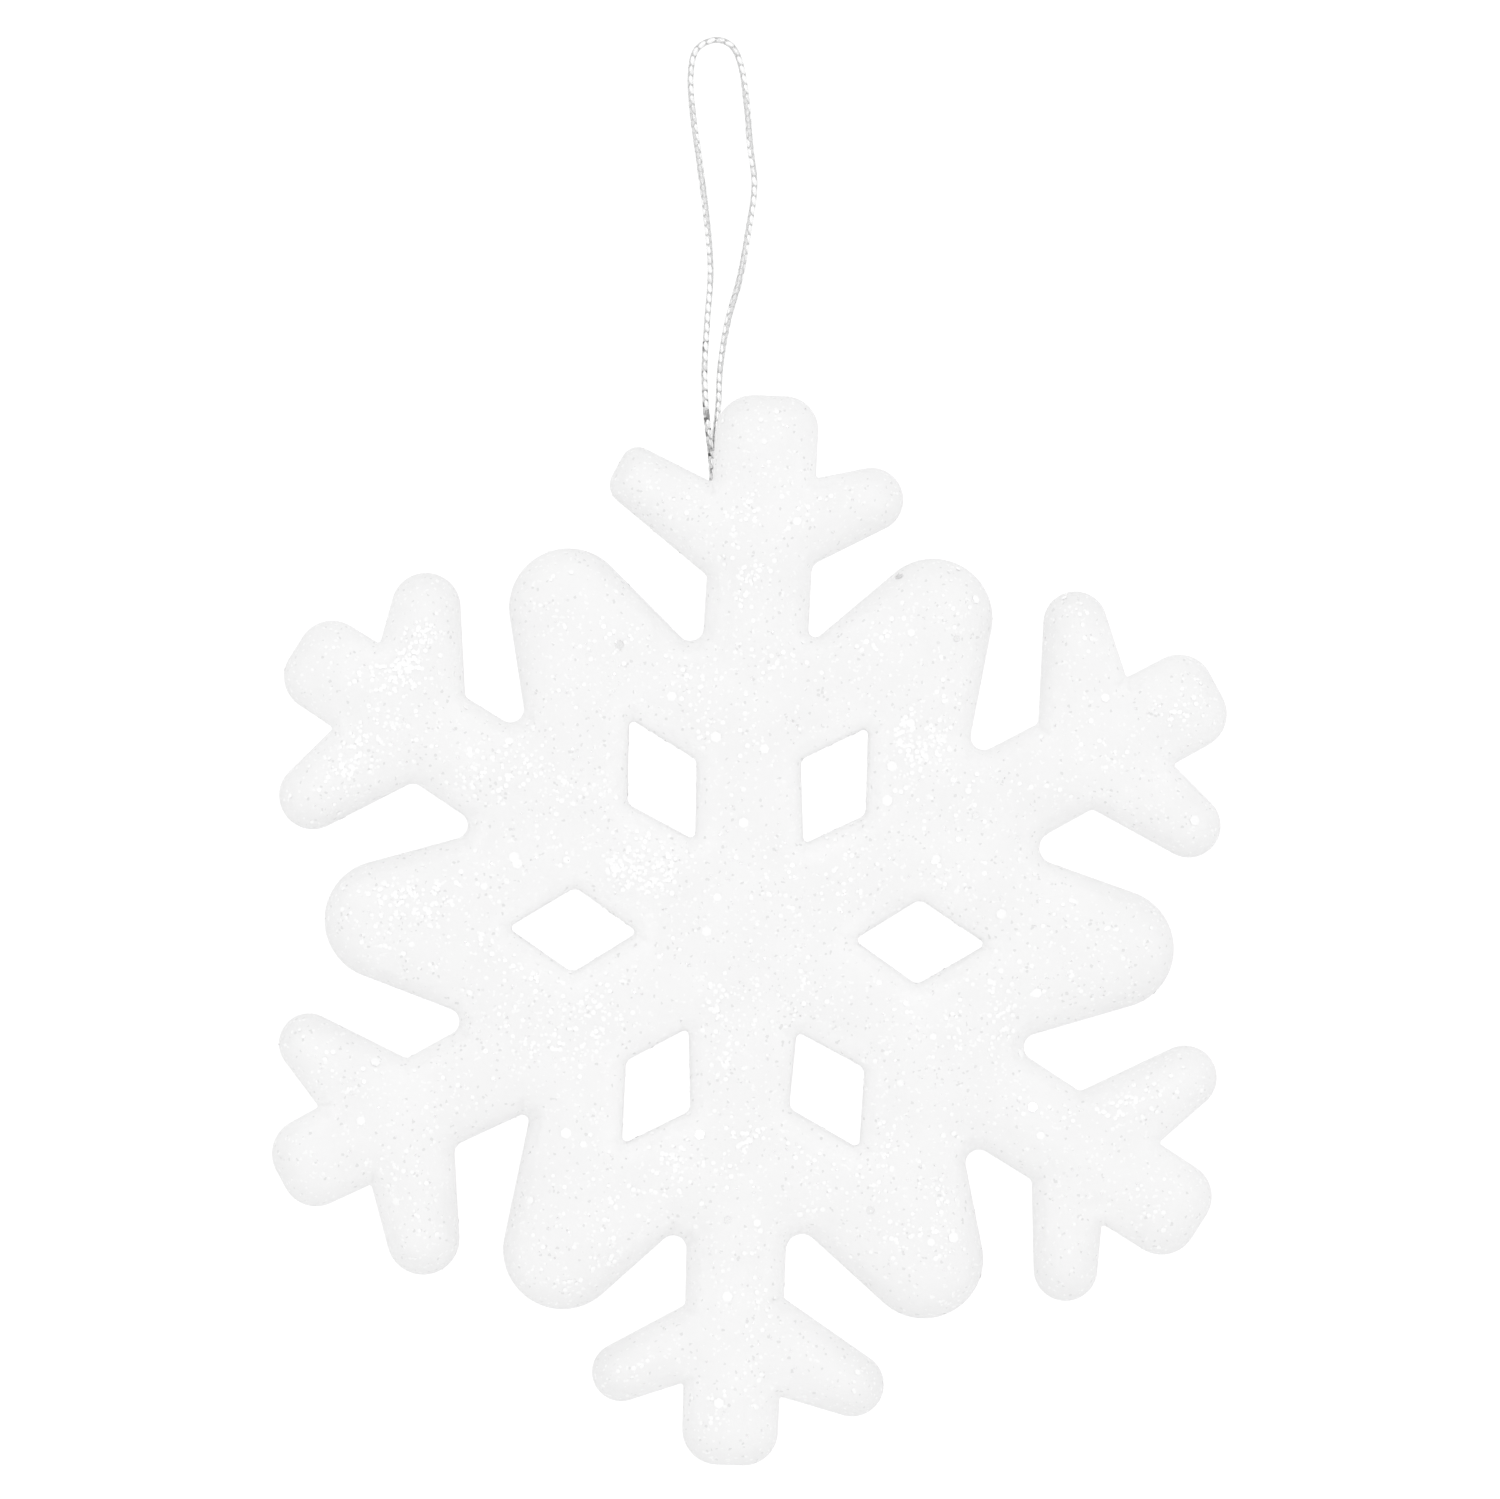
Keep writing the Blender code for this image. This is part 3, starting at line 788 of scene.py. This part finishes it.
def surface_samples(mesh, count, rng, weight):
    """Random points and normals on the mesh, chosen by area times weight."""
    mesh.calc_loop_triangles()
    tris = np.empty(len(mesh.loop_triangles) * 3, int)
    mesh.loop_triangles.foreach_get("vertices", tris)
    tris = tris.reshape(-1, 3)
    coords, normals = vertex_data(mesh, "co"), vertex_data(mesh, "normal")
    a, b, c = coords[tris[:, 0]], coords[tris[:, 1]], coords[tris[:, 2]]
    area = np.linalg.norm(np.cross(b - a, c - a), axis=1) / 2
    chance = area * weight((a + b + c) / 3)
    chosen = rng.choice(len(tris), count, p=chance / chance.sum())
    u, v = rng.random(count), rng.random(count)
    flip = u + v > 1
    u[flip], v[flip] = 1 - u[flip], 1 - v[flip]
    w = 1 - u - v
    corner = tris[chosen]
    places, up = [
        w[:, None] * data[corner[:, 0]] + u[:, None] * data[corner[:, 1]] + v[:, None] * data[corner[:, 2]]
        for data in (coords, normals)
    ]
    return places, up / np.linalg.norm(up, axis=1)[:, None]


def glitter_weight(flat, inset, drift, rim_weight):
    """How likely a flake is at a point: most on the crowns and in drifts, least at rims and tips."""
    tree = flat_tree(flat)
    hub = next(Vector(m["pos_m"]) for m in frame["record"]["mounts"] if m["name"] == "front_crown")
    rng = np.random.default_rng(int(drift * 1000))

    def weight(points):
        depth = np.array([inset[tree.find((p[0], 0.0, p[2]))[1]] for p in points])
        on_crown = np.clip((depth - CROWN_FROM) / CROWN_RISE, 0.0, 1.0) ** CROWN_POWER
        reach = np.hypot(points[:, 0] - hub.x, points[:, 2] - hub.z)
        at_tip = np.clip((reach - TIP_FROM) / TIP_FADE, 0.0, 1.0)
        field = (waves(points, rng, LONG_DRIFT[0]) * LONG_DRIFT[1]
                 + waves(points, rng, SHORT_DRIFT[0]) * SHORT_DRIFT[1])
        return (rim_weight + on_crown) * np.exp(drift * field) * (1 - TIP_LOSS * at_tip)

    return weight


def build_flakes(name, places, normals, sizes, tilt, tones, material, rng):
    """Closed six-sided plates lying on the surface, each a little tilted."""
    count = len(places)
    up = normals + rng.normal(0.0, 1.0, (count, 3)) * tilt
    up /= np.linalg.norm(up, axis=1)[:, None]
    a = np.cross(up, rng.normal(0.0, 1.0, (count, 3)))
    a /= np.linalg.norm(a, axis=1)[:, None]
    b = np.cross(up, a)
    middle = places + normals * FLAKE_RISE
    rings = []
    for level in (-FLAKE_HALF_THICKNESS, FLAKE_HALF_THICKNESS):
        for k in range(6):
            w = math.pi / 3 * k
            rings.append(middle + (a * math.cos(w) + b * math.sin(w)) * sizes[:, None] / 2 + up * level)
    verts = np.stack(rings, axis=1).reshape(-1, 3)
    faces = []
    for o in range(0, 12 * count, 12):
        faces.append(tuple(o + k for k in (5, 4, 3, 2, 1, 0)))
        faces.append(tuple(o + 6 + k for k in range(6)))
        for k in range(6):
            n = (k + 1) % 6
            faces.append((o + k, o + n, o + 6 + n, o + 6 + k))
    item = mesh_object(name, verts, faces, material, smooth=False)
    set_tones(item, np.repeat(tones, 12))
    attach(item, "snowflake")


def build_glitter(foam, flat, inset, rng):
    """Glitter flakes, thickest along the crowns and in drifts, thin towards edges and tips."""
    films = {
        "pearl": flake_material("glitter_pearl", metallic=0.0, roughness=0.18),
        "mirror": flake_material("glitter_mirror", metallic=1.0, roughness=0.15),
    }
    for name, count, (smallest, largest), tilt, tones, film, drift, rim_weight in GLITTER:
        weight = glitter_weight(flat, inset, drift, rim_weight)
        places, normals = surface_samples(foam.data, count, rng, weight)
        sizes = (smallest + (largest - smallest) * rng.random(count) ** SMALL_FLAKE_BIAS) * MM
        greys = rng.uniform(*tones, count)
        build_flakes(name, places, normals, sizes, tilt, greys, films[film], rng)


# Glue


def build_glue(material):
    """The dab of set glue, softly lumpy and run up round the two cut ends."""
    data = frame["nodes"]["glue_dab"].data.copy()
    data.name = "glue_blob"
    dab = linked(bpy.data.objects.new("glue_blob", data))
    bm = bmesh.new()
    bm.from_mesh(data)
    bmesh.ops.remove_doubles(bm, verts=bm.verts[:], dist=1e-6)
    bmesh.ops.triangulate(bm, faces=[f for f in bm.faces if len(f.verts) > 4])
    for x, y, z, radius in GLUE_RUNS:
        place = Matrix.Translation((x * MM, y * MM, z * MM))
        bmesh.ops.create_icosphere(bm, subdivisions=3, radius=radius * MM, matrix=place)
    bm.to_mesh(data)
    bm.free()
    modifier = dab.modifiers.new("remesh", "REMESH")
    modifier.mode = "VOXEL"
    modifier.voxel_size = GLUE_VOXEL
    graph = bpy.context.evaluated_depsgraph_get()
    mesh = bpy.data.meshes.new_from_object(dab.evaluated_get(graph))
    dab.modifiers.clear()
    dab.data = mesh
    coords = np.array([v.co for v in mesh.vertices])
    pairs = np.array([e.vertices[:] for e in mesh.edges])
    fixed = np.zeros(len(coords), bool)
    coords = np.stack([smoothed(coords[:, i], pairs, fixed, GLUE_ROUNDS) for i in range(3)], axis=1)
    mesh.vertices.foreach_set("co", coords.ravel())
    mesh.update()
    mesh.materials.clear()
    mesh.materials.append(material)
    mesh.shade_smooth()
    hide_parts("glue_dab")
    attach(dab, "snowflake")


# Stage


def build_stage():
    """A round pale floor below the ornament."""
    bm = bmesh.new()
    centre = bm.verts.new((0.0, 0.0, 0.0))
    turns = [2 * math.pi * k / FLOOR_SECTIONS for k in range(FLOOR_SECTIONS)]
    last = None
    for radius in FLOOR_RINGS:
        ring = [bm.verts.new((radius * math.cos(w), radius * math.sin(w), 0.0)) for w in turns]
        for k in range(FLOOR_SECTIONS):
            n = (k + 1) % FLOOR_SECTIONS
            if last:
                bm.faces.new((last[k], ring[k], ring[n], last[n]))
            else:
                bm.faces.new((centre, ring[k], ring[n]))
        last = ring
    mesh = bpy.data.meshes.new("pale_floor")
    bm.to_mesh(mesh)
    bm.free()
    mesh.materials.append(floor_material())
    floor = linked(bpy.data.objects.new("pale_floor", mesh))
    floor.location = (0.0, 0.0, FLOOR_HEIGHT)


def build_world():
    """White all round: one strength for what the camera sees, another for what lights the ornament."""
    world = bpy.data.worlds.new("studio")
    bpy.context.scene.world = world
    world.use_nodes = True
    nodes, links = world.node_tree.nodes, world.node_tree.links
    nodes.clear()
    output = nodes.new("ShaderNodeOutputWorld")
    mix = nodes.new("ShaderNodeMixShader")
    soft = nodes.new("ShaderNodeBackground")
    soft.inputs["Color"].default_value = (1.0, 1.0, 1.0, 1.0)
    direction = nodes.new("ShaderNodeTexCoord").outputs["Generated"]
    slope = nodes.new("ShaderNodeVectorMath")
    slope.operation = "DOT_PRODUCT"
    slope.inputs[1].default_value = STUDIO_SLOPE
    links.new(direction, slope.inputs[0])
    level = nodes.new("ShaderNodeMath")
    level.operation = "ADD"
    level.inputs[1].default_value = STUDIO_LEVEL
    links.new(slope.outputs["Value"], level.inputs[0])
    links.new(level.outputs["Value"], soft.inputs["Strength"])
    white = nodes.new("ShaderNodeBackground")
    white.inputs["Color"].default_value = (1.0, 1.0, 1.0, 1.0)
    white.inputs["Strength"].default_value = BACKDROP_LEVEL
    ray = nodes.new("ShaderNodeLightPath")
    links.new(ray.outputs["Is Camera Ray"], mix.inputs["Fac"])
    links.new(soft.outputs["Background"], mix.inputs[1])
    links.new(white.outputs["Background"], mix.inputs[2])
    links.new(mix.outputs["Shader"], output.inputs["Surface"])


def build_lights(centre):
    """Soft square lights in front of the ornament, all aimed at its centre."""
    for name, offset, size, power in STUDIO_LIGHTS:
        data = bpy.data.lights.new(name, "AREA")
        data.shape = "SQUARE"
        data.size = size
        data.energy = power
        light = linked(bpy.data.objects.new(name, data))
        light.location = centre + Vector(offset)
        light.rotation_euler = (-Vector(offset)).to_track_quat("-Z", "Y").to_euler()


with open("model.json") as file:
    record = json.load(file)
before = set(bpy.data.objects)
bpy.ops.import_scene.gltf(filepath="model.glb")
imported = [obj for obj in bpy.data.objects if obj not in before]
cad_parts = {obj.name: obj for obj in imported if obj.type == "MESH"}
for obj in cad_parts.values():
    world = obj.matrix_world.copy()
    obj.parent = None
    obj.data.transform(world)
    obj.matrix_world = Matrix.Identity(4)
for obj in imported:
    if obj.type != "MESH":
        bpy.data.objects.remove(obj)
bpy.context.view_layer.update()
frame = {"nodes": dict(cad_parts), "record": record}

foam_low, foam_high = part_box("foam_snowflake")
loop_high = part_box("cord_loop")[1]
middle_y = (foam_low.y + foam_high.y) / 2
build_camera((VIEW_X, middle_y, VIEW_Z))

rng = np.random.default_rng(SEED)
silver = cord_material()
build_cord(silver, rng)
build_knot(silver, rng)
for node, name, x, lean in CUT_ENDS:
    build_end(node, name, x, lean, silver, rng)
build_glue(glue_material())
foam, flat, inset = build_foam(foam_material(), rng)
build_glitter(foam, flat, inset, rng)

build_stage()
build_world()
build_lights(Vector((VIEW_X, middle_y, (foam_low.z + loop_high.z) / 2)))
bpy.context.scene.view_settings.view_transform = "Standard"
